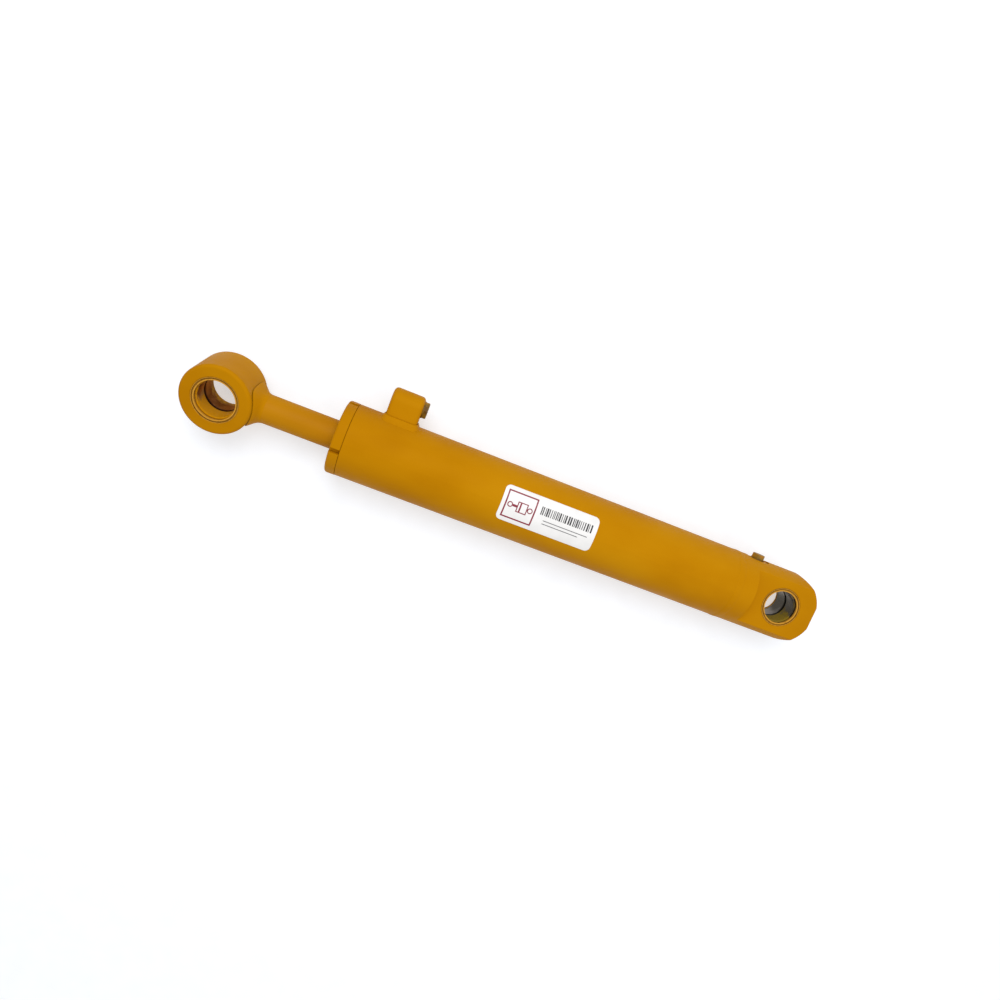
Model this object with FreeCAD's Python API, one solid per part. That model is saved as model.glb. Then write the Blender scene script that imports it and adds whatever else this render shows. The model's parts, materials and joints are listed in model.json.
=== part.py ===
import FreeCAD, Part
import math
import os

# Double-acting hydraulic cylinder with a pin eye at each end, shown retracted. Millimetres.
# Origin: centre of the base eye's pin bore. +X runs along the barrel to the rod eye, +Z along the
# base pin, and both oil ports face -Y.

# ---- driving dimensions ------------------------------------------------------------------------
BARREL_R = 45.0
BORE_R = 37.5
ROD_R = 18.0
STROKE = 375.0
PIN_TO_PIN = 728.5          # retracted, between the two pin axes

FIT = 0.08                  # radial gap of a running fit between two moving bodies
SNUG = 0.08                 # radial gap between two pieces of the same body
FREE = 0.3                  # gap between faces of different bodies that never touch
EDGE = 1.5                  # broken edge on machined outlines

# base lug and cap, one machined piece
LUG_HALF = 28.7             # half the thickness across the flats
LUG_END_R = 47.8            # round nose about the pin axis
LUG_NOSE_X = -45.6          # small flat that ends the nose
LUG_STEP_X = 47.2           # where the milled flats stop and the full round begins
CAP_SHOULDER_X = 69.0
CAP_FACE_X = 82.5           # inner face, which the piston nut comes to rest against
WELD_GAP = 2.0
WELD_ROOT_R = 39.5
WELD_TOP_HALF = 4.6
WELD_CROWN = 0.4
BASE_PIN_R = 20.0
BASE_BUSH_R = 25.0
BUSH_GAP_HALF = 2.0         # grease gap between the two bushings of an eye
MOUTH_LEAD = 0.8
SEAL_CHANNEL = 1.7          # depth of the channel round a dust seal's lip
BASE_BUSH_END = 23.2
BASE_SEAL_R = 21.0
BASE_SEAL_FACE = 28.3
GREASE_ANGLE = 135.0        # from +X towards +Y, on the hidden side of the nose
GREASE_HOLE_R = 2.5
GREASE_SHANK_R = 3.9
GREASE_SHANK = 7.0
GREASE_SEAT_R = 6.5         # spot face under the fitting's hexagon
GREASE_SEAT_DEPTH = 0.6
GREASE_ACROSS = 10.0
GREASE_HEX = 4.0
GREASE_BORE_R = 0.7
GREASE_SHANK_BORE_R = 1.2

# ports
PORT_HOLE_R = 5.0
PLUG_COLLAR = 1.4
PLUG_COLLAR_REACH = 0.9     # collar beyond the hexagon's flats
PLUG_NECK = 2.4
PLUG_NECK_DEPTH = 2.0
PLUG_O_RING = 0.9           # section radius
BASE_PORT_X = 41.3
BASE_THREAD_R = 7.0
SPOTFACE_R = 15.0
SPOTFACE_Y = -43.4
BASE_THREAD_DEPTH = 14.0
BASE_DRILL_Y = -27.0        # axis of the long drilling from the cap face
BASE_PLUG_ACROSS = 15.0     # across the flats
BASE_PLUG_TOP_Y = -50.7

BOSS_START_X = 507.0
BOSS_END_X = 546.0
BOSS_AXIS_Y = -64.5
BOSS_R = 16.0
BOSS_ROUND = 5.0
BOSS_FOOT_Y = -36.0
BOSS_WELD = 4.4
BOSS_CREASE = 0.7           # undercut between the weld and the port block
BOSS_CREASE_DEPTH = 2.0
BOSS_PORT_Y = -66.0
BOSS_THREAD_R = 9.0
BOSS_THREAD_DEPTH = 14.0
CHAMBER_HOLE_X = 526.0
BOSS_PLUG_ACROSS = 19.0
BOSS_PLUG_HEAD = 6.3

# tube
TUBE_START_X = CAP_SHOULDER_X + WELD_GAP
TUBE_END_X = 577.5
GLAND_THREAD_R = 39.4
COUNTERBORE_X = 550.5

# head gland, screwed into the tube
HEAD_FACE_X = 590.3
RING_START_X = 577.7
RING_R = 45.2
RING_ROUND = 3.0
NOTCH_WIDTH = 6.0
NOTCH_FLOOR_R = 39.6
NOTCH_FIRST_ANGLE = 15.0    # about +X, from +Z towards +Y
NOTCHES = 4
GLAND_THREAD_X = 551.0
GLAND_PILOT_X = 537.0
GLAND_NOSE_X = 518.0
GLAND_NOSE_R = 32.0
GLAND_ROD_GAP = 0.4
GLAND_O_GROOVE = (539.5, 546.5)
GLAND_O_GROOVE_R = 34.2
GLAND_O_RING = 1.55         # section radius
BACKUP_WIDTH = 2.5
WIPER_GROOVE = (583.5, 590.3)
WIPER_R = 24.0
OUTER_WEAR_GROOVE = (571.0, 580.5)
ROD_SEAL_GROOVE = (559.5, 567.5)
ROD_SEAL_R = 24.2
BUFFER_GROOVE = (549.5, 555.5)
BUFFER_R = 23.2
INNER_WEAR_GROOVE = (522.0, 534.0)
WEAR_THICK = 2.7
SEAL_END_GAP = 0.3

# piston on the rod's spigot
PISTON_WIDTH = 38.0
PISTON_FRONT_X = GLAND_NOSE_X - STROKE - 1.0
PISTON_BACK_X = PISTON_FRONT_X - PISTON_WIDTH
PISTON_R = 36.9
SPIGOT_R = 13.5
NUT_ACROSS = 41.0
NUT_START_X = CAP_FACE_X + 1.5
PISTON_WEAR_GROOVES = ((PISTON_BACK_X + 3.0, PISTON_BACK_X + 12.4),
                       (PISTON_FRONT_X - 12.0, PISTON_FRONT_X - 2.6))
PISTON_WEAR_FLOOR_R = 34.6
PISTON_SEAL_GROOVE = (PISTON_BACK_X + 15.8, PISTON_BACK_X + 22.8)
PISTON_SEAL_FLOOR_R = 29.8
PISTON_SEAL_INNER_R = 34.0
PISTON_O_RING = 1.2         # section radius
PISTON_O_GROOVE = (PISTON_BACK_X + 17.0, PISTON_BACK_X + 20.6)
PISTON_O_GROOVE_DEPTH = 2.6
WEAR_SPLIT = 2.5            # slanted gap in each split guide ring
SPLIT_SLANT = 60.0

# rod eye
EYE_TURN = 17.418           # turned about the rod, from +Z towards +Y
EYE_X = PIN_TO_PIN
EYE_R = 41.8
EYE_HALF = 29.0
EYE_ROUND = 4.0
ROD_PIN_R = 22.5
ROD_BUSH_R = 27.5
ROD_BUSH_END = 23.0
ROD_SEAL_LIP_R = 23.6
ROD_SEAL_FACE = 28.4
# sections of the neck weld: place along the rod, half size across the eye, half size along its pin,
# and power (2 is an ellipse, more is squarer)
NECK_SECTIONS = ((677.0, ROD_R + 0.05, ROD_R + 0.05, 2.0), (681.0, 18.6, 20.4, 2.1), (685.5, 20.3, 25.8, 2.4),
                 (690.5, 23.2, 28.3, 3.2), (700.0, 23.8, 28.6, 3.4))
NECK_POINTS = 24
NECK_CREASE = 0.9           # undercut between the weld and the eye
EYE_GREASE_ANGLE = 50.0     # from +X towards the eye's own +Y

# name plate label
LABEL_X = (264.0, 384.5)
LABEL_ARC = (-24.0, 33.0)   # degrees about the barrel, from +Z towards -Y
LABEL_INNER_R = BARREL_R + 0.03
LABEL_OUTER_R = BARREL_R + 0.25
LABEL_CORNER = 6.0

TINY = 0.01                 # tolerance when picking edges by position

X_AXIS = FreeCAD.Vector(1, 0, 0)
Y_AXIS = FreeCAD.Vector(0, 1, 0)
Z_AXIS = FreeCAD.Vector(0, 0, 1)


# ---- shape helpers -----------------------------------------------------------------------------
def vec(x, y, z):
    return FreeCAD.Vector(x, y, z)


def bar_x(start, end, radius, y=0.0, z=0.0):
    """Round bar along X."""
    return Part.makeCylinder(radius, end - start, vec(start, y, z), X_AXIS)


def bar_z(low, high, radius, x=0.0, y=0.0):
    """Round bar along Z."""
    return Part.makeCylinder(radius, high - low, vec(x, y, low), Z_AXIS)


def bar_y(low, high, radius, x=0.0, z=0.0):
    """Round bar along Y."""
    return Part.makeCylinder(radius, high - low, vec(x, low, z), Y_AXIS)


def block(x0, x1, y0, y1, z0, z1):
    return Part.makeBox(x1 - x0, y1 - y0, z1 - z0, vec(x0, y0, z0))


def ring_x(start, end, outer, inner):
    return bar_x(start, end, outer).cut(bar_x(start - 1, end + 1, inner))


def turned(points):
    """Solid turned about the X axis from its half section, given as (x, radius) points."""
    corners = [vec(x, 0, radius) for x, radius in points]
    face = Part.Face(Part.makePolygon(corners + corners[:1]))
    return face.revolve(vec(0, 0, 0), X_AXIS, 360)


def turned_z(points):
    """Solid turned about the Z axis from its half section, given as (z, radius) points."""
    corners = [vec(radius, 0, z) for z, radius in points]
    face = Part.Face(Part.makePolygon(corners + corners[:1]))
    return face.revolve(vec(0, 0, 0), Z_AXIS, 360)


def hex_bar(across, start, length, base, direction):
    """Hexagonal bar with its corners turned off at the far end, as a plug or nut head has."""
    corner_r = across / math.sqrt(3)
    angles = [math.radians(60 * i) for i in range(6)]
    points = [vec(corner_r * math.cos(angle), corner_r * math.sin(angle), start) for angle in angles]
    prism = Part.Face(Part.makePolygon(points + points[:1])).extrude(vec(0, 0, length))
    end = start + length
    drop = 0.7 * (corner_r - across / 2)
    trim = turned_z([(start, 0), (start, corner_r), (end - drop, corner_r), (end, across / 2 - drop),
                     (end, 0)])
    solid = prism.common(trim)
    solid.Placement = FreeCAD.Placement(base, FreeCAD.Rotation(Z_AXIS, direction))
    return solid


def edges_where(shape, test):
    return [edge for edge in shape.Edges if test(edge)]


def eye_frame(shape):
    """Moves a shape made about the origin to the rod eye, turned about the rod."""
    shape = shape.copy()
    shape.rotate(vec(0, 0, 0), X_AXIS, -EYE_TURN)
    shape.translate(vec(EYE_X, 0, 0))
    return shape


def bushing(low, high, inner, outer):
    """Plain bushing along Z with a small lead at each end of its bore."""
    lead = 0.5
    return turned_z([(low, inner + lead), (low + lead, inner), (high - lead, inner), (high, inner + lead),
                     (high, outer - lead), (high - lead, outer), (low + lead, outer), (low, outer - lead)])


def pin_seal(inner_face, outer_face, inner, outer):
    """Dust seal along Z: a steel-cased ring with a lip that leans outwards and a channel round it."""
    width = outer_face - inner_face
    lip = inner + 0.35 * (outer - inner)
    floor = outer_face - SEAL_CHANNEL
    return turned_z([(inner_face, lip), (inner_face + 0.45 * width, lip), (outer_face - 1.2, inner),
                     (outer_face, inner + 0.2), (outer_face, lip), (floor, lip + 0.4), (floor, outer - 0.7),
                     (outer_face, outer - 0.5), (outer_face, outer), (inner_face, outer)])


def grease_fitting():
    """Grease fitting standing on Z = 0 with its shank below."""
    shank = bar_z(-GREASE_SHANK, 0.2, GREASE_SHANK_R).cut(bar_z(-GREASE_SHANK - 1, 1, GREASE_SHANK_BORE_R))
    hexagon = hex_bar(GREASE_ACROSS, 0.0, GREASE_HEX, vec(0, 0, 0), Z_AXIS)
    nipple = turned_z([(3.5, 0), (3.5, 3.0), (5.2, 3.0), (6.4, 2.1), (7.4, 2.1), (8.2, 3.1), (9.4, 3.2),
                       (10.6, 2.3), (10.9, 1.4), (10.9, 0)])
    return shank.fuse(hexagon).fuse(nipple).removeSplitter().cut(bar_z(-GREASE_SHANK, 20, GREASE_BORE_R))


def place_radial(shape, radius, angle):
    """Stands a part made on Z = 0 on a round of the given radius about Z, at an angle from +X."""
    direction = vec(math.cos(math.radians(angle)), math.sin(math.radians(angle)), 0)
    shape = shape.copy()
    shape.Placement = FreeCAD.Placement(direction * radius, FreeCAD.Rotation(Z_AXIS, direction))
    return shape


def radial_hole(radius, start, end, angle):
    direction = vec(math.cos(math.radians(angle)), math.sin(math.radians(angle)), 0)
    return Part.makeCylinder(radius, end - start, direction * start, direction)


def bore_for_bushings(solid, bush_r, half):
    """Bores an eye for its bushings, with a 45 degree lead at each mouth."""
    solid = solid.cut(bar_z(-2 * half, 2 * half, bush_r + SNUG / 2))
    for side in (1, -1):
        inside = side * (half - MOUTH_LEAD)
        outside = side * (half + 1)
        mouth = turned_z([(inside, 0), (inside, bush_r), (outside, bush_r + MOUTH_LEAD + 1), (outside, 0)])
        solid = solid.cut(mouth)
    return solid


def drill_for_grease(solid, bush_r, outer_r, angle):
    """Cuts a grease fitting's seat, thread and drilling through to the bushings' gap."""
    beyond = outer_r + 5
    solid = solid.cut(radial_hole(GREASE_HOLE_R, bush_r - 2, beyond, angle))
    solid = solid.cut(radial_hole(GREASE_SHANK_R + SNUG, outer_r - GREASE_SHANK - 1, beyond, angle))
    return solid.cut(radial_hole(GREASE_SEAT_R, outer_r - GREASE_SEAT_DEPTH, beyond, angle))


# ---- barrel ------------------------------------------------------------------------------------
def lug_outline():
    """The lug seen along the pin: two straight sides, a round nose and the small flat that ends it."""
    meet_x = -math.sqrt(LUG_END_R ** 2 - BARREL_R ** 2)
    flat_y = math.sqrt(LUG_END_R ** 2 - LUG_NOSE_X ** 2)
    far = CAP_FACE_X + 10
    angle = 0.5 * (math.atan2(BARREL_R, meet_x) + math.atan2(flat_y, LUG_NOSE_X))
    bulge_x = LUG_END_R * math.cos(angle)
    bulge_y = LUG_END_R * math.sin(angle)
    shoulder = vec(meet_x, BARREL_R, 0)
    bulge = vec(bulge_x, bulge_y, 0)
    corner = vec(LUG_NOSE_X, flat_y, 0)
    back = vec(far, BARREL_R, 0)

    def across(point):
        return vec(point.x, -point.y, 0)

    sides = [Part.makeLine(back, shoulder), Part.Arc(shoulder, bulge, corner).toShape(),
             Part.makeLine(corner, across(corner)),
             Part.Arc(across(corner), across(bulge), across(shoulder)).toShape(),
             Part.makeLine(across(shoulder), across(back)), Part.makeLine(across(back), back)]
    return Part.Face(Part.Wire(sides))


def base_lug():
    bevel_x = CAP_SHOULDER_X + WELD_GAP / 2 - WELD_TOP_HALF
    stock = turned([(-60, 0), (-60, BARREL_R), (bevel_x, BARREL_R), (CAP_SHOULDER_X, WELD_ROOT_R),
                    (CAP_SHOULDER_X, BORE_R - SNUG), (CAP_FACE_X - 1.5, BORE_R - SNUG),
                    (CAP_FACE_X, BORE_R - 2.0), (CAP_FACE_X, 0)])
    outline = lug_outline().extrude(vec(0, 0, 4 * BARREL_R))
    outline.translate(vec(0, 0, -2 * BARREL_R))
    solid = stock.common(outline)
    for side in (1, -1):
        flat = block(-70, LUG_STEP_X, -60, 60, LUG_HALF, 60)
        if side < 0:
            flat = flat.mirror(vec(0, 0, 0), Z_AXIS)
        solid = solid.cut(flat)

    def rims_flat(edge):
        box = edge.BoundBox
        in_flat = box.ZLength < TINY and abs(abs(box.ZMax) - LUG_HALF) < TINY
        return in_flat and box.XMin < LUG_STEP_X - 1

    solid = solid.makeFillet(EDGE, edges_where(solid, rims_flat))
    solid = bore_for_bushings(solid, BASE_BUSH_R, LUG_HALF)
    solid = solid.cut(bar_y(-60, SPOTFACE_Y, SPOTFACE_R, BASE_PORT_X))
    solid = solid.cut(bar_y(SPOTFACE_Y - 1, SPOTFACE_Y + BASE_THREAD_DEPTH, BASE_THREAD_R, BASE_PORT_X))
    solid = solid.cut(bar_y(SPOTFACE_Y, BASE_DRILL_Y + PORT_HOLE_R, PORT_HOLE_R, BASE_PORT_X))
    solid = solid.cut(bar_x(BASE_PORT_X, CAP_FACE_X + 1, PORT_HOLE_R, BASE_DRILL_Y))
    return drill_for_grease(solid, BASE_BUSH_R, LUG_END_R, GREASE_ANGLE)


def base_weld():
    middle = CAP_SHOULDER_X + WELD_GAP / 2
    shoulder = 0.6 * WELD_TOP_HALF
    shoulder_r = BARREL_R + 0.8 * WELD_CROWN
    return turned([(CAP_SHOULDER_X, WELD_ROOT_R), (middle - WELD_TOP_HALF, BARREL_R),
                   (middle - shoulder, shoulder_r), (middle, BARREL_R + WELD_CROWN),
                   (middle + shoulder, shoulder_r), (middle + WELD_TOP_HALF, BARREL_R),
                   (TUBE_START_X, WELD_ROOT_R)])


def barrel_tube():
    bevel_x = TUBE_START_X - WELD_GAP / 2 + WELD_TOP_HALF
    tube = turned([(TUBE_START_X, BORE_R), (TUBE_START_X, WELD_ROOT_R), (bevel_x, BARREL_R),
                   (TUBE_END_X - 0.5, BARREL_R), (TUBE_END_X, BARREL_R - 0.5),
                   (TUBE_END_X, GLAND_THREAD_R + SNUG), (COUNTERBORE_X + 0.6, GLAND_THREAD_R + SNUG),
                   (COUNTERBORE_X - 1.4, BORE_R)])
    return tube.cut(bar_y(-60, 0, PORT_HOLE_R, CHAMBER_HOLE_X))


def is_circle(edge):
    return edge.Curve.TypeId == "Part::GeomCircle"


def boss_block():
    """Port block: round above, straight-sided down to the tube."""
    round_top = bar_x(BOSS_START_X, BOSS_END_X, BOSS_R, BOSS_AXIS_Y)
    rounded = round_top.makeFillet(BOSS_ROUND, edges_where(round_top, is_circle))
    skirt = block(BOSS_START_X, BOSS_END_X, BOSS_AXIS_Y, BOSS_FOOT_Y, -BOSS_R, BOSS_R)
    uprights = edges_where(skirt, lambda e: e.BoundBox.YLength > 1)
    skirt = skirt.makeFillet(BOSS_ROUND - 0.01, uprights)
    cover = block(BOSS_START_X, BOSS_END_X, BOSS_AXIS_Y - 2 * BOSS_R, BOSS_AXIS_Y, -BOSS_R, BOSS_R)
    return rounded.common(cover).fuse(skirt).removeSplitter()


def rod_port_boss():
    solid = boss_block().cut(bar_x(BOSS_START_X - 20, BOSS_END_X + 20, BARREL_R))
    solid = solid.cut(bar_x(BOSS_START_X - 1, BOSS_START_X + BOSS_THREAD_DEPTH, BOSS_THREAD_R, BOSS_PORT_Y))
    solid = solid.cut(bar_x(BOSS_START_X, CHAMBER_HOLE_X + PORT_HOLE_R, PORT_HOLE_R, BOSS_PORT_Y))
    return solid.cut(bar_y(BOSS_PORT_Y, 0, PORT_HOLE_R, CHAMBER_HOLE_X))


def rounded_plate(y, thick, grow):
    """Plate of constant Y thickness with the port block's outline, grown on all sides."""
    half = BOSS_R + grow
    plate = block(BOSS_START_X - grow, BOSS_END_X + grow, y, y + thick, -half, half)
    return plate.makeFillet(BOSS_ROUND + grow, edges_where(plate, lambda e: e.BoundBox.YLength > TINY))


def lower_wire(plate):
    return min(plate.Faces, key=lambda face: face.CenterOfMass.y).OuterWire


def rod_port_weld():
    """Fillet weld round the foot of the port block, following the tube, with a crease at the block."""
    top_y = -BARREL_R - BOSS_WELD
    foot = lower_wire(rounded_plate(BOSS_FOOT_Y, 1, 2 * BOSS_WELD))
    skirt = Part.makeLoft([foot, lower_wire(rounded_plate(top_y, 1, 0))], True, True)
    skirt = skirt.common(bar_x(BOSS_START_X - 20, BOSS_END_X + 20, BARREL_R + BOSS_WELD))
    skirt = skirt.cut(rounded_plate(top_y, BOSS_CREASE_DEPTH, BOSS_CREASE))
    return skirt.cut(bar_x(BOSS_START_X - 20, BOSS_END_X + 20, BARREL_R)).cut(boss_block())


def port_plug(across, head, shank, thread_r):
    """Hex port plug standing on Z = 0 with its threaded shank below."""
    body = hex_bar(across, PLUG_COLLAR, head - PLUG_COLLAR, vec(0, 0, 0), Z_AXIS)
    collar = bar_z(0, PLUG_COLLAR, across / 2 + PLUG_COLLAR_REACH)
    neck = bar_z(-PLUG_NECK, 0, thread_r - PLUG_NECK_DEPTH)
    thread = bar_z(-shank, -PLUG_NECK, thread_r - SNUG)
    return body.fuse(collar).fuse(neck).fuse(thread).removeSplitter()


def base_port_plug():
    plug = port_plug(BASE_PLUG_ACROSS, SPOTFACE_Y - BASE_PLUG_TOP_Y, BASE_THREAD_DEPTH - 1.5, BASE_THREAD_R)
    plug.Placement = FreeCAD.Placement(vec(BASE_PORT_X, SPOTFACE_Y, 0), FreeCAD.Rotation(Z_AXIS, -Y_AXIS))
    return plug


def rod_port_plug():
    plug = port_plug(BOSS_PLUG_ACROSS, BOSS_PLUG_HEAD, BOSS_THREAD_DEPTH - 1.5, BOSS_THREAD_R)
    plug.Placement = FreeCAD.Placement(vec(BOSS_START_X, BOSS_PORT_Y, 0), FreeCAD.Rotation(Z_AXIS, -X_AXIS))
    return plug


def torus_about(centre, direction, middle_r, section_r):
    ring = Part.makeTorus(middle_r, section_r)
    ring.Placement = FreeCAD.Placement(centre, FreeCAD.Rotation(Z_AXIS, direction))
    return ring


def plug_o_ring(centre, direction, thread_r):
    """O-ring round a port plug's neck, just under its collar."""
    under = centre - direction * (PLUG_O_RING + 0.15)
    return torus_about(under, direction, thread_r - PLUG_NECK_DEPTH + PLUG_O_RING + 0.05, PLUG_O_RING)


def head_gland():
    body = turned([(GLAND_NOSE_X, 0), (GLAND_NOSE_X, GLAND_NOSE_R - 1), (GLAND_NOSE_X + 1, GLAND_NOSE_R),
                   (GLAND_PILOT_X, GLAND_NOSE_R), (GLAND_PILOT_X, BORE_R - 1.0 - SNUG),
                   (GLAND_PILOT_X + 1.0, BORE_R - SNUG), (GLAND_O_GROOVE[0], BORE_R - SNUG),
                   (GLAND_O_GROOVE[0], GLAND_O_GROOVE_R), (GLAND_O_GROOVE[1], GLAND_O_GROOVE_R),
                   (GLAND_O_GROOVE[1], BORE_R - SNUG), (GLAND_THREAD_X, BORE_R - SNUG),
                   (GLAND_THREAD_X + 1.5, GLAND_THREAD_R), (RING_START_X, GLAND_THREAD_R),
                   (RING_START_X, RING_R - 0.5), (RING_START_X + 0.5, RING_R), (HEAD_FACE_X, RING_R),
                   (HEAD_FACE_X, 0)])

    def is_rim(edge):
        return edge.BoundBox.XMin > HEAD_FACE_X - TINY and edge.BoundBox.ZMax > RING_R - TINY

    body = body.makeFillet(RING_ROUND, edges_where(body, is_rim))
    half = NOTCH_WIDTH / 2
    for i in range(NOTCHES):
        notch = block(RING_START_X - 1, HEAD_FACE_X + 1, -half, half, NOTCH_FLOOR_R, RING_R + 5)
        notch.rotate(vec(0, 0, 0), X_AXIS, -(NOTCH_FIRST_ANGLE + 360 / NOTCHES * i))
        body = body.cut(notch)
    body = body.cut(bar_x(GLAND_NOSE_X - 1, HEAD_FACE_X + 1, ROD_R + GLAND_ROD_GAP))
    body = body.cut(bar_x(WIPER_GROOVE[0], HEAD_FACE_X + 1, WIPER_R))
    wear_r = ROD_R + FIT + WEAR_THICK
    for span, radius in ((OUTER_WEAR_GROOVE, wear_r), (ROD_SEAL_GROOVE, ROD_SEAL_R),
                         (BUFFER_GROOVE, BUFFER_R), (INNER_WEAR_GROOVE, wear_r)):
        body = body.cut(bar_x(span[0], span[1], radius))
    return body


def gland_o_ring():
    centre = vec(GLAND_O_GROOVE[0] + GLAND_O_RING + 0.5, 0, 0)
    return torus_about(centre, X_AXIS, GLAND_O_GROOVE_R + GLAND_O_RING + 0.05, GLAND_O_RING)


def gland_backup_ring():
    end = GLAND_O_GROOVE[1] - SEAL_END_GAP
    return ring_x(end - BACKUP_WIDTH, end, BORE_R - 0.12, GLAND_O_GROOVE_R + 0.1)


def rod_wiper():
    lip = ROD_R + FIT
    start = WIPER_GROOVE[0] + 0.1
    end = WIPER_GROOVE[1]
    return turned([(start, lip + 1.6), (start + 2.6, lip + 1.2), (end + 0.9, lip), (end + 1.2, lip + 0.3),
                   (end - 0.4, lip + 2.6), (end - 0.4, WIPER_R - 1.2), (end - 0.1, WIPER_R - SNUG),
                   (start, WIPER_R - SNUG)])


def u_cup(span, outer):
    """Rod seal of U section, its open side towards the oil."""
    lip = ROD_R + FIT
    start = span[0] + SEAL_END_GAP
    end = span[1] - SEAL_END_GAP
    heel = outer - SNUG
    middle = (lip + heel) / 2
    return turned([(start, lip), (start + 1.2, lip), (end - 1.0, lip + 0.5), (end, lip + 0.8),
                   (end, heel - 0.6), (end - 0.6, heel), (start, heel), (start, heel - 1.6),
                   (start + 3.0, middle + 0.5), (start + 3.0, middle - 0.5), (start, lip + 1.6)])


def buffer_seal():
    """Step-shaped buffer ring that takes pressure peaks ahead of the rod seal."""
    lip = ROD_R + FIT
    start = BUFFER_GROOVE[0] + SEAL_END_GAP
    end = BUFFER_GROOVE[1] - SEAL_END_GAP
    heel = BUFFER_R - SNUG
    return turned([(start, lip + 1.0), (start + 1.6, lip), (end - 1.6, lip), (end, lip + 0.6), (end, heel),
                   (start, heel)])


def split_ring(start, end, inner, outer, angle):
    """Guide ring with a slanted split."""
    ring = ring_x(start, end, outer, inner)
    width = end - start
    slot = block(-width, width, -WEAR_SPLIT / 2, WEAR_SPLIT / 2, 0.5 * inner, outer + 5)
    slot.rotate(vec(0, 0, 0), Z_AXIS, SPLIT_SLANT)
    slot.translate(vec((start + end) / 2, 0, 0))
    slot.rotate(vec(0, 0, 0), X_AXIS, angle)
    return ring.cut(slot)


def gland_wear_ring(span, angle):
    return split_ring(span[0] + SEAL_END_GAP / 2, span[1] - SEAL_END_GAP / 2, ROD_R + FIT,
                      ROD_R + FIT + WEAR_THICK - SNUG, angle)


def base_grease_fitting():
    return place_radial(grease_fitting(), LUG_END_R - GREASE_SEAT_DEPTH, GREASE_ANGLE)


def label():
    """Thin label wrapped on the barrel, with rounded corners."""
    low, high = LABEL_ARC
    middle = math.radians((low + high) / 2)
    half = BARREL_R * math.sin(math.radians((high - low) / 2))
    shell = ring_x(LABEL_X[0] - 10, LABEL_X[1] + 10, LABEL_OUTER_R, LABEL_INNER_R)
    window = block(LABEL_X[0], LABEL_X[1], -half, half, 5, 2 * BARREL_R)
    window = window.makeFillet(LABEL_CORNER, edges_where(window, lambda e: e.BoundBox.ZLength > 1))
    window.rotate(vec(0, 0, 0), X_AXIS, math.degrees(middle))
    return shell.common(window)


# ---- rod and piston ----------------------------------------------------------------------------
def eye_cylinder(extra=0.0):
    return eye_frame(bar_z(-100, 100, EYE_R + extra))


def piston_rod():
    start = NUT_START_X + 0.6
    rod = turned([(start, 0), (start, SPIGOT_R - 1.2), (start + 1.2, SPIGOT_R), (PISTON_FRONT_X, SPIGOT_R),
                  (PISTON_FRONT_X, ROD_R - 1.0), (PISTON_FRONT_X + 1.0, ROD_R), (EYE_X, ROD_R), (EYE_X, 0)])
    return rod.cut(eye_cylinder(0.02))


def rod_eye():
    eye = bar_z(-EYE_HALF, EYE_HALF, EYE_R)
    eye = eye.makeFillet(EYE_ROUND, edges_where(eye, is_circle))
    eye = bore_for_bushings(eye, ROD_BUSH_R, EYE_HALF)
    return eye_frame(drill_for_grease(eye, ROD_BUSH_R, EYE_R, EYE_GREASE_ANGLE))


def neck_section(x, across, along, power):
    """Closed smooth curve between an ellipse and a rounded rectangle, in a plane of constant X."""
    points = []
    for i in range(NECK_POINTS):
        angle = 2 * math.pi * i / NECK_POINTS
        y = across * math.copysign(abs(math.cos(angle)) ** (2 / power), math.cos(angle))
        z = along * math.copysign(abs(math.sin(angle)) ** (2 / power), math.sin(angle))
        points.append(vec(x, y, z))
    curve = Part.BSplineCurve()
    curve.interpolate(points, PeriodicFlag=True)
    return Part.Wire(curve.toShape())


def neck_flare(sink=0.0):
    """The flare from the rod to the full width of the eye, or the same sunk below its surface."""
    wires = [neck_section(x, across - sink, along - sink, power) for x, across, along, power in NECK_SECTIONS]
    flare = Part.makeLoft(wires, True, False)
    flare.rotate(vec(0, 0, 0), X_AXIS, -EYE_TURN)
    return flare


def rod_eye_weld():
    """Weld that flares from the rod up to the eye's round side, with an undercut where the two meet."""
    rod = bar_x(NECK_SECTIONS[0][0] - 1, EYE_X, ROD_R)
    undercut = eye_cylinder(NECK_CREASE).cut(neck_flare(NECK_CREASE)).cut(rod)
    return neck_flare().cut(rod).cut(eye_cylinder()).cut(undercut)


def rod_grease_fitting():
    return eye_frame(place_radial(grease_fitting(), EYE_R - GREASE_SEAT_DEPTH, EYE_GREASE_ANGLE))


def piston():
    body = turned([(PISTON_BACK_X, SPIGOT_R + SNUG), (PISTON_BACK_X, PISTON_R - 1.5),
                   (PISTON_BACK_X + 1.5, PISTON_R), (PISTON_FRONT_X - 1.5, PISTON_R),
                   (PISTON_FRONT_X, PISTON_R - 1.5), (PISTON_FRONT_X, SPIGOT_R + SNUG)])
    for span in PISTON_WEAR_GROOVES:
        body = body.cut(ring_x(span[0], span[1], PISTON_R + 5, PISTON_WEAR_FLOOR_R))
    body = body.cut(ring_x(PISTON_SEAL_GROOVE[0], PISTON_SEAL_GROOVE[1], PISTON_R + 5, PISTON_SEAL_FLOOR_R))
    return body.cut(bar_x(PISTON_O_GROOVE[0], PISTON_O_GROOVE[1], SPIGOT_R + PISTON_O_GROOVE_DEPTH))


def piston_o_ring():
    centre = vec(sum(PISTON_O_GROOVE) / 2, 0, 0)
    return torus_about(centre, X_AXIS, SPIGOT_R + PISTON_O_RING + 0.1, PISTON_O_RING)


def piston_nut():
    nut = hex_bar(NUT_ACROSS, 0.0, PISTON_BACK_X - NUT_START_X, vec(PISTON_BACK_X, 0, 0), -X_AXIS)
    return nut.cut(bar_x(NUT_START_X - 5, PISTON_BACK_X + 5, SPIGOT_R + SNUG))


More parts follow.
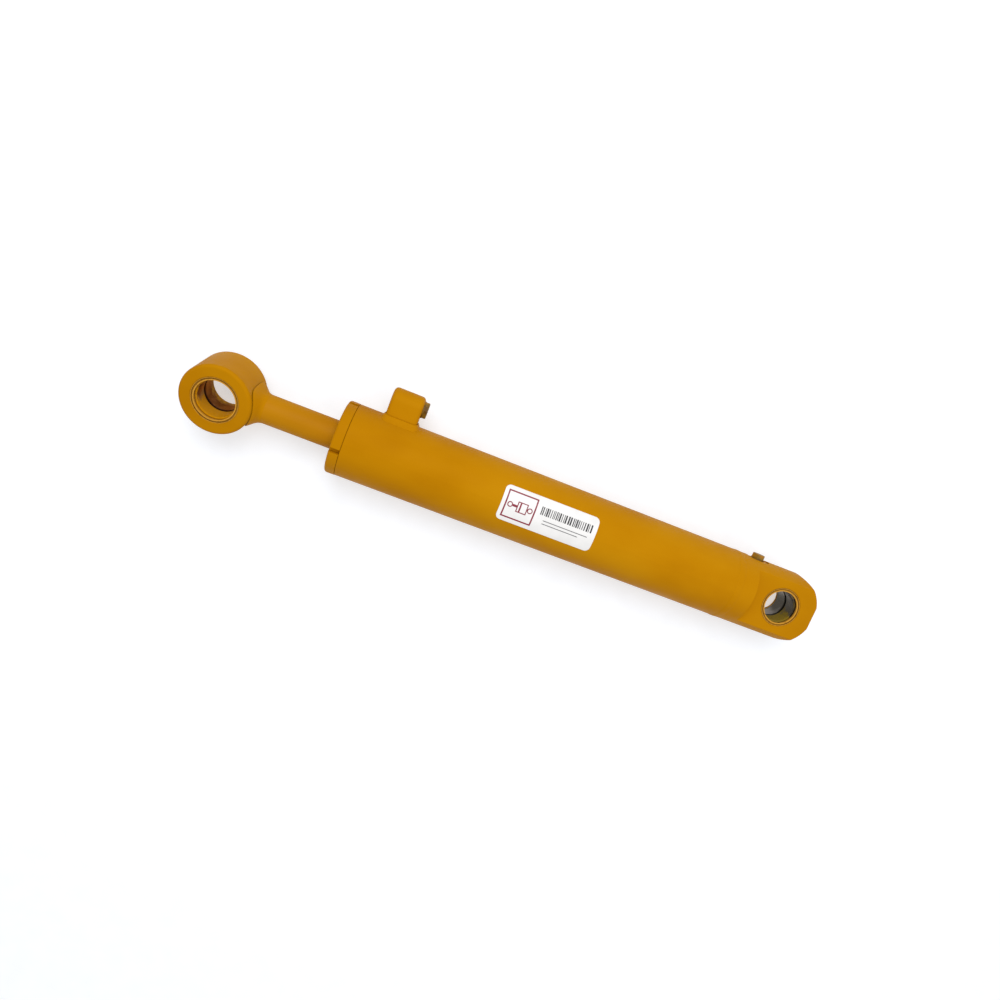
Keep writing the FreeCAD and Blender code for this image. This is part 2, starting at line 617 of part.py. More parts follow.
# ---- rings that slide in the bore --------------------------------------------------------------
def piston_wear_ring(span, angle):
    return split_ring(span[0] + 0.2, span[1] - 0.2, PISTON_WEAR_FLOOR_R + FREE, BORE_R - FIT, angle)


def piston_seal():
    start = PISTON_SEAL_GROOVE[0] + 0.25
    end = PISTON_SEAL_GROOVE[1] - 0.25
    outer = BORE_R - FIT
    return turned([(start, PISTON_SEAL_INNER_R), (start, outer - 0.6), (start + 0.6, outer),
                   (end - 0.6, outer), (end, outer - 0.6), (end, PISTON_SEAL_INNER_R)])


def piston_seal_energizer():
    inner = PISTON_SEAL_FLOOR_R + FREE
    section_r = (PISTON_SEAL_INNER_R - 0.1 - inner) / 2
    return torus_about(vec(sum(PISTON_SEAL_GROOVE) / 2, 0, 0), X_AXIS, inner + section_r, section_r)


def eye_pair(name, gap, bush_end, seal_face, pin_r, bush_r, lip_r, place):
    """The two bushings and two dust seals of one eye, as {node name: shape}."""
    made = {}
    for word, side in (("upper", 1), ("lower", -1)):
        bush = bushing(gap, bush_end, pin_r, bush_r)
        seal = pin_seal(bush_end + 0.2, seal_face, lip_r, bush_r - SNUG)
        if side < 0:
            bush = bush.mirror(vec(0, 0, 0), Z_AXIS)
            seal = seal.mirror(vec(0, 0, 0), Z_AXIS)
        made[name + "_bushing_" + word] = place(bush)
        made[name + "_pin_seal_" + word] = place(seal)
    return made


def parts():
    made = {
        "barrel_tube": barrel_tube(),
        "base_lug": base_lug(),
        "base_weld": base_weld(),
        "base_port_plug": base_port_plug(),
        "base_port_plug_o_ring": plug_o_ring(vec(BASE_PORT_X, SPOTFACE_Y, 0), -Y_AXIS, BASE_THREAD_R),
        "base_grease_fitting": base_grease_fitting(),
        "rod_port_boss": rod_port_boss(),
        "rod_port_weld": rod_port_weld(),
        "rod_port_plug": rod_port_plug(),
        "rod_port_plug_o_ring": plug_o_ring(vec(BOSS_START_X, BOSS_PORT_Y, 0), -X_AXIS, BOSS_THREAD_R),
        "head_gland": head_gland(),
        "gland_o_ring": gland_o_ring(),
        "gland_backup_ring": gland_backup_ring(),
        "rod_wiper": rod_wiper(),
        "rod_seal": u_cup(ROD_SEAL_GROOVE, ROD_SEAL_R),
        "rod_buffer_seal": buffer_seal(),
        "gland_wear_ring_outer": gland_wear_ring(OUTER_WEAR_GROOVE, 40),
        "gland_wear_ring_inner": gland_wear_ring(INNER_WEAR_GROOVE, 200),
        "label": label(),
        "piston_rod": piston_rod(),
        "rod_eye": rod_eye(),
        "rod_eye_weld": rod_eye_weld(),
        "rod_grease_fitting": rod_grease_fitting(),
        "piston": piston(),
        "piston_o_ring": piston_o_ring(),
        "piston_nut": piston_nut(),
        "piston_wear_ring_rear": piston_wear_ring(PISTON_WEAR_GROOVES[0], 70),
        "piston_wear_ring_front": piston_wear_ring(PISTON_WEAR_GROOVES[1], 250),
        "piston_seal": piston_seal(),
        "piston_seal_energizer": piston_seal_energizer(),
    }
    made.update(eye_pair("base", BUSH_GAP_HALF, BASE_BUSH_END, BASE_SEAL_FACE, BASE_PIN_R, BASE_BUSH_R,
                         BASE_SEAL_R, lambda shape: shape))
    made.update(eye_pair("rod", BUSH_GAP_HALF, ROD_BUSH_END, ROD_SEAL_FACE, ROD_PIN_R, ROD_BUSH_R,
                         ROD_SEAL_LIP_R, eye_frame))
    return made


os.makedirs("parts", exist_ok=True)
for node, shape in parts().items():
    shape.exportStep("parts/" + node + ".step")
    print(node, "valid", shape.isValid(), "solids", len(shape.Solids), "volume", round(shape.Volume, 1))
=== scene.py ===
import json
import math
import random

import bmesh
import bpy
from mathutils import Matrix, Vector


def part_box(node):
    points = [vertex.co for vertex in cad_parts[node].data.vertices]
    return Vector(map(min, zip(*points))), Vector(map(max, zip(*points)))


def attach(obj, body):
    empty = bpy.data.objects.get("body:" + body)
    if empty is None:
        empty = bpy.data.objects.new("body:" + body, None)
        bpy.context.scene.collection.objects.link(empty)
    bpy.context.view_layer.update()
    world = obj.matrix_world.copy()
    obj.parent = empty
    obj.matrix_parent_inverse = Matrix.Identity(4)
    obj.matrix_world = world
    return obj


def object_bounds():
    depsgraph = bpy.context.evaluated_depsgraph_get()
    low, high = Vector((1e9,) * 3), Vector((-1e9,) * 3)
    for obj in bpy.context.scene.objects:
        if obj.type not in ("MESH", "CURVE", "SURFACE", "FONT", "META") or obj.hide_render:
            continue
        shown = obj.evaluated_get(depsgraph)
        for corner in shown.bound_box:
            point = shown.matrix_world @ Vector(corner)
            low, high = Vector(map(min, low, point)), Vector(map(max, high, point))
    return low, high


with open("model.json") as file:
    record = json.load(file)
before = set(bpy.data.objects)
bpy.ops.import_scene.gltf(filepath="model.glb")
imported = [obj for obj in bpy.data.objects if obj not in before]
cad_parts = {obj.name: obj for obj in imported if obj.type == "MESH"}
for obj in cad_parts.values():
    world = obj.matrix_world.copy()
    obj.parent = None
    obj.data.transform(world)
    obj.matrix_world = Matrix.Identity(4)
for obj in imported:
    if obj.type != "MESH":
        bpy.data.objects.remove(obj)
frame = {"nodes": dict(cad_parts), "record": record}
CAD_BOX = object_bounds()

# Everything is in metres, in the part's own frame: origin in the base lug's pin bore, +X along the
# barrel to the rod eye, +Z along the base pin, both ports towards -Y.
NODES = frame["nodes"]
MM = 0.001

TUBE_LOW, TUBE_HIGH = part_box("barrel_tube")
BARREL_R = (TUBE_HIGH.z - TUBE_LOW.z) / 2
HEAD_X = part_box("head_gland")[1].x
MOUNTS = {m["name"]: m for m in frame["record"]["mounts"]}
EYE_CENTRE = Vector((MOUNTS["rod_eye_bore"]["pos_m"][0], 0, 0))
EYE_AXIS = Vector(MOUNTS["rod_eye_bore"]["axis"])
EYE_TURN = math.atan2(EYE_AXIS.y, EYE_AXIS.z)
BASE_BORE_R = MOUNTS["base_eye_bore"]["dims"]["r_mm"] * MM
ROD_BORE_R = MOUNTS["rod_eye_bore"]["dims"]["r_mm"] * MM
BODY_OF = {n: b for b, names in frame["record"]["behaviour"]["bodies"].items() for n in names}

# ---- camera, floor and light -------------------------------------------------------------------
CAMERA_PLACE = Vector((0.4956, -0.1229, 0.8430))
CAMERA_TARGET = Vector((0.3802, 0.0031, 0.0))
CAMERA_UP = Vector((0.3513, -0.9178, -0.1853))
CAMERA_LENS = 25.1
CAMERA_SENSOR = 36.0
FLOOR_Z = CAD_BOX[0].z - 0.0003
FLOOR_HALF = 6.0
FLOOR_GLOW = 0.48
SKY_STRENGTH = 0.60
LIGHTS_AIM = Vector((0.35, 0.0, 0.0))
# name, offset from the aim, diameter in metres, watts
LIGHTS = (("key", Vector((0.25, -0.95, 1.65)), 1.3, 18.0),
          ("fill", Vector((-0.9, 0.4, 1.7)), 1.6, 4.0))

# ---- colours -----------------------------------------------------------------------------------
PAINT_MID = (0.515, 0.212, 0.0010)
PAINT_DEEP = (0.460, 0.180, 0.0005)
PAINT_LIGHT = (0.550, 0.238, 0.0020)
PAINT_GLOSS_TINT = (1.0, 0.62, 0.16, 1.0)
# painted shade: the brown that ambient occlusion mixes into the paint in gaps and inside corners
CREVICE_SHADE_BROWN = (0.140, 0.054, 0.0015)
# painted shade: near black that ambient occlusion mixes into the bore's gaps and inside corners
BORE_SHADE_DARK = (0.012, 0.006, 0.004)


def make_camera():
    data = bpy.data.cameras.new("camera")
    data.lens = CAMERA_LENS
    data.sensor_width = CAMERA_SENSOR
    data.clip_start = 0.01
    camera = bpy.data.objects.new("camera", data)
    bpy.context.scene.collection.objects.link(camera)
    forward = (CAMERA_TARGET - CAMERA_PLACE).normalized()
    right = forward.cross(CAMERA_UP).normalized()
    up = right.cross(forward)
    turn = Matrix((right, up, -forward)).transposed().to_4x4()
    camera.matrix_world = Matrix.Translation(CAMERA_PLACE) @ turn
    bpy.context.scene.camera = camera


def area_light(name, place, target, size, power):
    data = bpy.data.lights.new(name, "AREA")
    data.shape = "DISK"
    data.size = size
    data.energy = power
    light = bpy.data.objects.new(name, data)
    bpy.context.scene.collection.objects.link(light)
    light.location = place
    light.rotation_mode = "QUATERNION"
    light.rotation_quaternion = (Vector(target) - Vector(place)).to_track_quat("-Z", "Y")


def make_lights():
    world = bpy.data.worlds.new("studio")
    bpy.context.scene.world = world
    world.use_nodes = True
    background = world.node_tree.nodes["Background"]
    background.inputs["Color"].default_value = (1.0, 1.0, 1.0, 1)
    background.inputs["Strength"].default_value = SKY_STRENGTH
    for name, offset, size, power in LIGHTS:
        area_light(name, LIGHTS_AIM + offset, LIGHTS_AIM, size, power)
    bpy.context.scene.view_settings.view_transform = "Standard"


def make_floor():
    """Pale floor that glows a little and throws no light back up on the paint."""
    mesh = bpy.data.meshes.new("floor")
    corners = [(x * FLOOR_HALF, y * FLOOR_HALF, FLOOR_Z) for x, y in ((-1, -1), (1, -1), (1, 1), (-1, 1))]
    mesh.from_pydata(corners, [], [(0, 1, 2, 3)])
    floor = bpy.data.objects.new("floor", mesh)
    bpy.context.scene.collection.objects.link(floor)
    nodes = Nodes("floor_white")
    grain = nodes.noise(nodes.position(), 40.0, 3.0)
    nodes.base_colour(nodes.ramp(grain, ((0.3, (0.585, 0.615, 0.665)), (0.7, (0.615, 0.645, 0.695)))))
    nodes.set("Roughness", 0.9)
    nodes.set("Specular IOR Level", 0.1)
    nodes.set("Emission Color", (1.0, 1.0, 1.0, 1.0))
    nodes.set("Emission Strength", FLOOR_GLOW)
    mesh.materials.append(nodes.material)
    floor.visible_diffuse = False


# ---- material kit ------------------------------------------------------------------------------
class Nodes:
    """A material made of a Principled shader and the few node patterns used here."""

    def __init__(self, name):
        self.material = bpy.data.materials.new(name)
        self.material.use_nodes = True
        self.tree = self.material.node_tree
        self.shader = self.tree.nodes["Principled BSDF"]

    def add(self, kind, **settings):
        node = self.tree.nodes.new(kind)
        for key, value in settings.items():
            setattr(node, key, value)
        return node

    def link(self, source, target):
        self.tree.links.new(source, target)
        return target

    def set(self, socket, value):
        self.shader.inputs[socket].default_value = value

    def position(self, scale=(1, 1, 1), turn_x=0.0, origin=(0, 0, 0)):
        """The piece's own coordinates in metres, moved to an origin, turned about X and scaled."""
        place = self.add("ShaderNodeTexCoord").outputs["Object"]
        move = self.add("ShaderNodeVectorMath", operation="SUBTRACT")
        self.link(place, move.inputs[0])
        move.inputs[1].default_value = origin
        mapping = self.add("ShaderNodeMapping")
        mapping.inputs["Rotation"].default_value = (turn_x, 0, 0)
        self.link(move.outputs[0], mapping.inputs["Vector"])
        return self.stretch(mapping.outputs[0], scale)

    def stretch(self, vector, scale):
        node = self.add("ShaderNodeVectorMath", operation="MULTIPLY")
        self.link(vector, node.inputs[0])
        node.inputs[1].default_value = scale
        return node.outputs[0]

    def split(self, vector):
        node = self.add("ShaderNodeSeparateXYZ")
        self.link(vector, node.inputs[0])
        return node.outputs

    def noise(self, vector, scale, detail=4.0, roughness=0.5):
        node = self.add("ShaderNodeTexNoise")
        self.link(vector, node.inputs["Vector"])
        node.inputs["Scale"].default_value = scale
        node.inputs["Detail"].default_value = detail
        node.inputs["Roughness"].default_value = roughness
        return node.outputs["Fac"]

    def feed(self, sockets, values):
        """Links or sets each value on its socket."""
        for socket, value in zip(sockets, values):
            if isinstance(value, tuple):
                socket.default_value = (*value, 1)
            elif isinstance(value, (int, float)):
                socket.default_value = value
            else:
                self.link(value, socket)

    def maths(self, operation, *values):
        node = self.add("ShaderNodeMath", operation=operation)
        self.feed(node.inputs, values)
        return node.outputs[0]

    def occlusion_shade(self, reach):
        """1 deep in a gap or a sharp inside corner, 0 on open surfaces: ambient occlusion, used to paint
        shade into colours.
        """
        node = self.add("ShaderNodeAmbientOcclusion", samples=8)
        node.inputs["Distance"].default_value = reach
        return self.remap(node.outputs["AO"], 0.30, 0.80, 1.0, 0.0)

    def ramp(self, factor, stops):
        node = self.add("ShaderNodeValToRGB")
        while len(node.color_ramp.elements) < len(stops):
            node.color_ramp.elements.new(0.5)
        for element, (place, colour) in zip(node.color_ramp.elements, stops):
            element.position = place
            element.color = (*colour, 1)
        self.link(factor, node.inputs[0])
        return node.outputs[0]

    def remap(self, factor, low, high, to_low, to_high):
        node = self.add("ShaderNodeMapRange")
        node.inputs["From Min"].default_value = low
        node.inputs["From Max"].default_value = high
        node.inputs["To Min"].default_value = to_low
        node.inputs["To Max"].default_value = to_high
        self.link(factor, node.inputs["Value"])
        return node.outputs["Result"]

    def mix(self, data_type, *values):
        """Blend of two colours (RGBA) or two numbers (FLOAT) by a factor."""
        node = self.add("ShaderNodeMix", data_type=data_type)
        self.feed([s for s in node.inputs if s.enabled], values)
        return [s for s in node.outputs if s.enabled][0]

    def base_colour(self, colour):
        self.link(colour, self.shader.inputs["Base Color"])

    def roughness(self, value):
        self.link(value, self.shader.inputs["Roughness"])

    def metallic(self, value):
        self.link(value, self.shader.inputs["Metallic"])

    def bump(self, height, strength, distance):
        """Adds a bump of the given depth in metres, on top of any there already."""
        node = self.add("ShaderNodeBump")
        node.inputs["Strength"].default_value = strength
        node.inputs["Distance"].default_value = distance
        self.link(height, node.inputs["Height"])
        socket = self.shader.inputs["Normal"]
        if socket.is_linked:
            self.link(socket.links[0].from_socket, node.inputs["Normal"])
        self.link(node.outputs[0], socket)


def paint_colour(nodes):
    """Sprayed yellow: slow patches of thicker and thinner paint, and a fine dusting of grain, with painted
    shade: brown mixed in by ambient occlusion in gaps and inside corners.
    """
    place = nodes.position()
    patches = nodes.noise(nodes.position((0.6, 1, 1)), 14.0, 3.0)
    colour = nodes.ramp(patches, ((0.28, PAINT_DEEP), (0.5, PAINT_MID), (0.72, PAINT_LIGHT)))
    specks = nodes.noise(place, 900.0, 2.0)
    dust = nodes.remap(specks, 0.66, 0.80, 0.0, 0.08)
    dusty = nodes.mix("RGBA", dust, colour, (0.60, 0.32, 0.02))
    # painted shade: ambient occlusion mixes brown into gaps and inside corners
    return nodes.mix("RGBA", nodes.occlusion_shade(0.0022), dusty, CREVICE_SHADE_BROWN)


def paint_finish(nodes):
    """Satin gloss that varies a little, with the orange peel of sprayed enamel."""
    place = nodes.position()
    sheen = nodes.noise(place, 30.0, 4.0)
    nodes.bump(nodes.noise(place, 420.0, 2.0), 0.28, 0.00022)
    nodes.bump(nodes.noise(place, 70.0, 2.0), 0.20, 0.0006)
    nodes.set("Specular IOR Level", 0.07)
    nodes.set("Specular Tint", PAINT_GLOSS_TINT)
    return nodes.remap(sheen, 0.3, 0.7, 0.44, 0.58)


def yellow_paint(name="yellow_paint", extra=None):
    nodes = Nodes(name)
    nodes.base_colour(paint_colour(nodes))
    nodes.roughness(paint_finish(nodes))
    if extra:
        extra(nodes)
    return nodes.material


def weld_lumps(nodes):
    """The uneven surface of a hand-laid weld under the paint."""
    nodes.bump(nodes.noise(nodes.position(), 170.0, 3.0), 0.5, 0.0008)


def chrome_rod():
    """Hard chrome with fine grinding lines; painted yellow where it stood out of the gland."""
    nodes = Nodes("chrome_rod")
    parts = nodes.split(nodes.position())
    ragged = nodes.noise(nodes.position(), 260.0, 3.0)
    edge = nodes.maths("ADD", parts["X"], nodes.remap(ragged, 0.3, 0.7, -0.0009, 0.0009))
    painted = nodes.remap(edge, HEAD_X + 0.0012, HEAD_X + 0.0022, 0.0, 1.0)
    lines = nodes.noise(nodes.position((2600.0, 60.0, 60.0)), 1.0, 3.0)
    chrome = nodes.ramp(lines, ((0.3, (0.66, 0.67, 0.69)), (0.7, (0.80, 0.81, 0.83))))
    nodes.base_colour(nodes.mix("RGBA", painted, chrome, paint_colour(nodes)))
    nodes.metallic(nodes.maths("SUBTRACT", 1.0, painted))
    polish = nodes.remap(lines, 0.3, 0.7, 0.08, 0.15)
    nodes.roughness(nodes.mix("FLOAT", painted, polish, paint_finish(nodes)))
    nodes.set("Specular Tint", (1.0, 1.0, 1.0, 1.0))
    return nodes.material


def sprayed_bushing(nodes, place, steel, paint, spray, mouth, reach):
    """Steel of a bore, with paint blown in at the mouths and over the side that lay lowest, and painted
    shade: near black mixed in by ambient occlusion in the gap between bushings and at inside corners.
    """
    parts = nodes.split(place)
    ragged = nodes.remap(nodes.noise(place, 120.0, 4.0), 0.3, 0.7, -0.0045, 0.0045)
    depth = nodes.maths("ADD", nodes.maths("ABSOLUTE", parts["Z"]), ragged)
    at_mouth = nodes.remap(depth, mouth, mouth + 0.007, 0.0, 1.0)
    lowness = nodes.maths("ADD", parts["Y"], ragged)
    low_side = nodes.remap(lowness, 0.15 * reach, 0.50 * reach, 0.0, 1.0)
    near_side = nodes.remap(parts["Z"], -0.002, 0.004, 0.0, 1.0)
    on_low_side = nodes.maths("MULTIPLY", low_side, near_side)
    sprayed = nodes.maths("MULTIPLY", nodes.maths("MAXIMUM", at_mouth, on_low_side), spray)
    coloured = nodes.mix("RGBA", sprayed, steel, paint)
    # painted shade: ambient occlusion darkens the gap between bushings and the inside corners to near black
    nodes.base_colour(nodes.mix("RGBA", nodes.occlusion_shade(0.003), coloured, BORE_SHADE_DARK))
    nodes.metallic(nodes.remap(sprayed, 0.0, 0.5, 0.85, 0.0))
    nodes.set("Specular IOR Level", 0.05)
    rings = nodes.noise(nodes.stretch(place, (60.0, 60.0, 5200.0)), 1.0, 3.0)
    nodes.roughness(nodes.mix("FLOAT", sprayed, nodes.remap(rings, 0.3, 0.7, 0.24, 0.38), 0.65))
    nodes.bump(rings, 0.25, 0.0001)


def base_bushing_steel():
    """Grey-olive steel, darker on the side away from the barrel."""
    nodes = Nodes("base_bushing_steel")
    place = nodes.position()
    stains = nodes.noise(place, 70.0, 4.0)
    steel = nodes.ramp(stains, ((0.30, (0.17, 0.16, 0.14)), (0.70, (0.29, 0.27, 0.26))))
    back = nodes.maths("ADD", nodes.split(place)["X"], nodes.remap(stains, 0.3, 0.7, -0.003, 0.003))
    # darker towards -X, on the side of the bore away from the barrel
    back_side_dark = nodes.remap(back, -0.55 * BASE_BORE_R, -0.90 * BASE_BORE_R, 0.0, 0.75)
    steel = nodes.mix("RGBA", back_side_dark, steel, (0.034, 0.030, 0.015))
    sprayed_bushing(nodes, place, steel, (0.30, 0.20, 0.012), 0.94, 0.0215, BASE_BORE_R)
    return nodes.material


def rod_bushing_steel():
    """Red-brown steel, more heavily sprayed than the base's; the paint blown in is lighter than the outside
    paint, a painted light against the shade inside the bore.
    """
    nodes = Nodes("rod_bushing_steel")
    place = nodes.position(turn_x=EYE_TURN, origin=tuple(EYE_CENTRE))
    stains = nodes.noise(place, 90.0, 4.0)
    steel = nodes.ramp(stains, ((0.32, (0.095, 0.034, 0.015)), (0.68, (0.19, 0.080, 0.042))))
    # painted light: the sprayed yellow here is lighter than the outside paint, to make up for the shade
    # inside the bore
    sprayed_bushing(nodes, place, steel, (0.66, 0.29, 0.003), 0.98, 0.0165, ROD_BORE_R)
    nodes.set("Specular Tint", (1.0, 0.55, 0.20, 1.0))
    return nodes.material


def pin_seal():
    """Dust seal sprayed over with the paint: its lip catches more of it, and its edge is darkened by ambient
    occlusion, a painted shade.
    """
    nodes = Nodes("pin_seal")
    gaps = nodes.noise(nodes.position(), 240.0, 3.0)
    bare = nodes.remap(gaps, 0.30, 0.42, 0.5, 0.0)
    coat = nodes.mix("RGBA", bare, (0.640, 0.310, 0.035), (0.20, 0.085, 0.010))
    # painted shade: ambient occlusion darkens the seal's edge to brown
    nodes.base_colour(nodes.mix("RGBA", nodes.occlusion_shade(0.0022), coat, CREVICE_SHADE_BROWN))
    nodes.roughness(nodes.remap(gaps, 0.3, 0.7, 0.65, 0.45))
    nodes.set("Specular Tint", PAINT_GLOSS_TINT)
    nodes.bump(nodes.noise(nodes.position(), 500.0, 2.0), 0.3, 0.0002)
    return nodes.material


def black_rubber():
    nodes = Nodes("black_rubber")
    dust = nodes.noise(nodes.position(), 300.0, 4.0)
    nodes.base_colour(nodes.ramp(dust, ((0.4, (0.012, 0.012, 0.013)), (0.7, (0.05, 0.048, 0.045)))))
    nodes.roughness(nodes.remap(dust, 0.3, 0.7, 0.45, 0.7))
    nodes.bump(dust, 0.2, 0.0001)
    return nodes.material


def polyurethane():
    """Seal plastic, a little see-into, with moulding bloom."""
    nodes = Nodes("polyurethane")
    bloom = nodes.noise(nodes.position(), 180.0, 3.0)
    nodes.base_colour(nodes.ramp(bloom, ((0.3, (0.03, 0.07, 0.15)), (0.7, (0.06, 0.13, 0.24)))))
    nodes.roughness(nodes.remap(bloom, 0.3, 0.7, 0.28, 0.42))
    nodes.set("Coat Weight", 0.15)
    return nodes.material


def guide_ring():
    """Fabric-filled phenolic: a fine woven grain in brown."""
    nodes = Nodes("guide_ring")
    weave = nodes.noise(nodes.position((2200.0, 700.0, 700.0)), 1.0, 2.0)
    nodes.base_colour(nodes.ramp(weave, ((0.35, (0.16, 0.06, 0.03)), (0.65, (0.30, 0.14, 0.07)))))
    nodes.roughness(nodes.remap(weave, 0.3, 0.7, 0.5, 0.7))
    nodes.bump(weave, 0.3, 0.0001)
    return nodes.material


def piston_steel():
    """Turned steel with fine feed lines."""
    nodes = Nodes("piston_steel")
    feed = nodes.noise(nodes.position((5200.0, 40.0, 40.0)), 1.0, 3.0)
    nodes.base_colour(nodes.ramp(feed, ((0.3, (0.34, 0.34, 0.35)), (0.7, (0.56, 0.56, 0.57)))))
    nodes.set("Metallic", 1.0)
    nodes.roughness(nodes.remap(feed, 0.3, 0.7, 0.25, 0.42))
    nodes.bump(feed, 0.3, 0.0001)
    return nodes.material


def plug_steel():
    """Steel plug under a thin coat of yellow that leaves it olive and brown in places."""
    nodes = Nodes("plug_steel")
    thin = nodes.noise(nodes.position(), 130.0, 3.0)
    coat = nodes.ramp(thin, ((0.34, (0.13, 0.060, 0.005)), (0.52, (0.26, 0.140, 0.008)), (0.70, PAINT_DEEP)))
    # painted shade: ambient occlusion darkens the plug's corners and its foot to near black
    nodes.base_colour(nodes.mix("RGBA", nodes.occlusion_shade(0.0022), coat, (0.035, 0.014, 0.002)))
    nodes.roughness(nodes.remap(thin, 0.3, 0.7, 0.55, 0.42))
    nodes.set("Specular IOR Level", 0.3)
    nodes.bump(thin, 0.3, 0.0004)
    return nodes.material


def label_white():
    """White vinyl: faint mottling, satin face."""
    nodes = Nodes("label_white")
    mottle = nodes.noise(nodes.position(), 60.0, 3.0)
    nodes.base_colour(nodes.ramp(mottle, ((0.3, (0.86, 0.85, 0.84)), (0.7, (0.93, 0.92, 0.91)))))
    nodes.roughness(nodes.remap(mottle, 0.3, 0.7, 0.30, 0.38))
    nodes.bump(nodes.noise(nodes.position(), 700.0, 2.0), 0.08, 0.0001)
    return nodes.material


def ink(name, dark, light):
    """Printed ink, slightly uneven in strength."""
    nodes = Nodes(name)
    strength = nodes.noise(nodes.position(), 500.0, 3.0)
    nodes.base_colour(nodes.ramp(strength, ((0.3, dark), (0.7, light))))
    nodes.roughness(nodes.remap(strength, 0.3, 0.7, 0.32, 0.42))
    return nodes.material


def dress_nodes():
    """Gives every CAD node the material of its record slot."""
    finishes = {
        "yellow_paint": yellow_paint(),
        "chrome_rod": chrome_rod(),
        "pin_seal": pin_seal(),
        "black_rubber": black_rubber(),
        "polyurethane": polyurethane(),
        "guide_ring": guide_ring(),
        "piston_steel": piston_steel(),
        "plug_steel": plug_steel(),
        "grease_fitting": yellow_paint("grease_fitting"),
        "label": label_white(),
    }
    base_bore = base_bushing_steel()
    rod_bore = rod_bushing_steel()
    welded = yellow_paint("painted_weld", weld_lumps)
    for row in frame["record"]["subparts"]:
        node, slot = row["node"], row["material_slot"]
        if slot == "bushing_steel":
            finish = rod_bore if BODY_OF[node] == "rod" else base_bore
        elif node.endswith("_weld"):
            finish = welded
        else:
            finish = finishes[slot]
        mesh = NODES[node].data
        mesh.materials.clear()
        mesh.materials.append(finish)


# ---- label print -------------------------------------------------------------------------------
PRINT_THICK = 0.04 * MM
PRINT_RISE = 0.26 * MM        # from the barrel to the underside of the ink
FRAME_MARGIN = 4.5 * MM
FRAME_LENGTH = 38 * MM
FRAME_HALF = 17 * MM
FRAME_LINE = 1.8 * MM
DRAWING_LINE = 1.2 * MM
DRAWING_MARGIN = 6.5 * MM
BODY_LENGTH = 13 * MM
BODY_HALF = 6.5 * MM
ROD_HALF = 1.4 * MM
EYE_RING_R = 3.4 * MM
PISTON_SET_BACK = 5 * MM
BARS_GAP = 6 * MM
BARS_MARGIN = 7 * MM
BARS_ARC = (1 * MM, 11 * MM)
BAR_WIDTHS = (0.9, 1.3, 1.9)
BAR_SPACES = (0.9, 1.3, 1.7)
RULE_GAP = 12 * MM
# each rule's margin from the label's end, and its edges round the barrel
RULES = ((9 * MM, -5.4 * MM, -4.4 * MM), (20 * MM, -9.4 * MM, -8.4 * MM))


def wrap(along, around, radius):
    """Point on the barrel: metres along X, and metres of arc from +Z towards -Y."""
    angle = around / BARREL_R
    return Vector((along, -radius * math.sin(angle), radius * math.cos(angle)))


def printed(name, shapes, material):
    """One closed thin mesh of wrapped shapes. Each shape is a list of rows of (along, around) points."""
    inner = BARREL_R + PRINT_RISE
    mesh = bpy.data.meshes.new(name)
    bm = bmesh.new()
    for rows in shapes:
        count = len(rows[0])
        grids = []
        for radius in (inner + PRINT_THICK, inner):
            grids.append([[bm.verts.new(wrap(*point, radius)) for point in row] for row in rows])
        top, bottom = grids
        for i in range(len(rows) - 1):
            for j in range(count - 1):
                bm.faces.new((top[i][j], top[i + 1][j], top[i + 1][j + 1], top[i][j + 1]))
                bm.faces.new((bottom[i][j], bottom[i][j + 1], bottom[i + 1][j + 1], bottom[i + 1][j]))
        last = len(rows) - 1
        rim = [(0, j, 0, j + 1) for j in range(count - 1)]
        rim += [(i, count - 1, i + 1, count - 1) for i in range(last)]
        rim += [(last, j + 1, last, j) for j in range(count - 1)]
        rim += [(i + 1, 0, i, 0) for i in range(last)]
        for a, b, c, d in rim:
            bm.faces.new((top[a][b], top[c][d], bottom[c][d], bottom[a][b]))
    bmesh.ops.remove_doubles(bm, verts=bm.verts, dist=1e-7)
    bmesh.ops.recalc_face_normals(bm, faces=bm.faces)
    bm.to_mesh(mesh)
    bm.free()
    mesh.materials.append(material)
    piece = bpy.data.objects.new(name, mesh)
    bpy.context.scene.collection.objects.link(piece)
    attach(piece, "barrel")


def patch(x0, x1, a0, a1):
    """Rectangle as rows of points, close enough together to follow the round."""
    steps = max(1, math.ceil((a1 - a0) / 0.002))
    return [[(x, a0 + (a1 - a0) * j / steps) for j in range(steps + 1)] for x in (x0, x1)]


def ring_patch(x, a, outer, inner, turns=32):
    rows = []
    for i in range(turns + 1):
        angle = 2 * math.pi * i / turns
        rows.append([(x + r * math.cos(angle), a + r * math.sin(angle)) for r in (inner, outer)])
    return rows


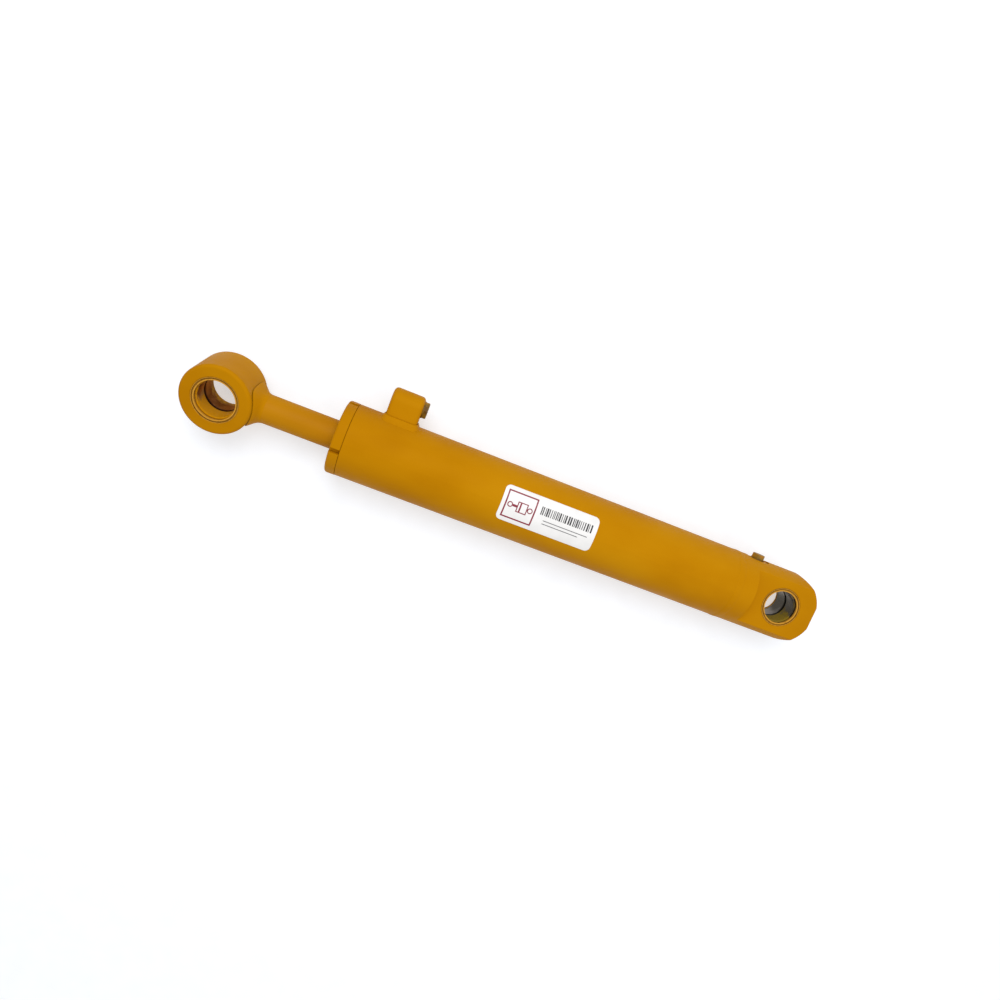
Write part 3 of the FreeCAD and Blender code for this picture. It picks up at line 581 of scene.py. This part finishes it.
def frame_patches(x0, x1, a0, a1, line):
    """The four strips of a rectangular frame."""
    return [patch(x0, x1, a0, a0 + line), patch(x0, x1, a1 - line, a1),
            patch(x0, x0 + line, a0 + line, a1 - line), patch(x1 - line, x1, a0 + line, a1 - line)]


def label_print():
    """Generic print: a framed line drawing of a pin-eye cylinder, a row of code bars and two rules."""
    low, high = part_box("label")
    arc_low = BARREL_R * math.asin(-high.y / BARREL_R)
    arc_high = BARREL_R * math.asin(-low.y / BARREL_R)
    mid = (arc_low + arc_high) / 2
    red = ink("ink_crimson", (0.22, 0.008, 0.028), (0.29, 0.013, 0.040))
    black = ink("ink_black", (0.016, 0.016, 0.018), (0.034, 0.034, 0.037))
    grey = ink("ink_grey", (0.16, 0.16, 0.165), (0.22, 0.22, 0.225))

    right = high.x - FRAME_MARGIN
    left = right - FRAME_LENGTH
    border = frame_patches(left, right, mid - FRAME_HALF, mid + FRAME_HALF, FRAME_LINE)
    printed("label_print_frame", border, red)

    line = DRAWING_LINE
    eyes = (left + DRAWING_MARGIN, right - DRAWING_MARGIN)
    body_start = eyes[0] + EYE_RING_R
    body_end = body_start + BODY_LENGTH
    piston = body_end - PISTON_SET_BACK
    drawing = frame_patches(body_start, body_end, mid - BODY_HALF, mid + BODY_HALF, line)
    drawing.append(patch(body_end, eyes[1] - EYE_RING_R, mid - ROD_HALF, mid + ROD_HALF))
    drawing.append(patch(piston, piston + 1.6 * line, mid - BODY_HALF + line, mid + BODY_HALF - line))
    for x in eyes:
        drawing.append(ring_patch(x, mid, EYE_RING_R, EYE_RING_R - line))
    printed("label_print_drawing", drawing, red)

    rng = random.Random(7)
    bars = []
    x = left - BARS_GAP
    while x > low.x + BARS_MARGIN:
        width = rng.choice(BAR_WIDTHS) * MM
        bars.append(patch(x - width, x, mid + BARS_ARC[0], mid + BARS_ARC[1]))
        x -= width + rng.choice(BAR_SPACES) * MM
    printed("label_print_code_bars", bars, black)

    rules = [patch(low.x + margin, left - RULE_GAP, mid + a0, mid + a1) for margin, a0, a1 in RULES]
    printed("label_print_rules", rules, grey)


make_camera()
make_lights()
make_floor()
dress_nodes()
label_print()
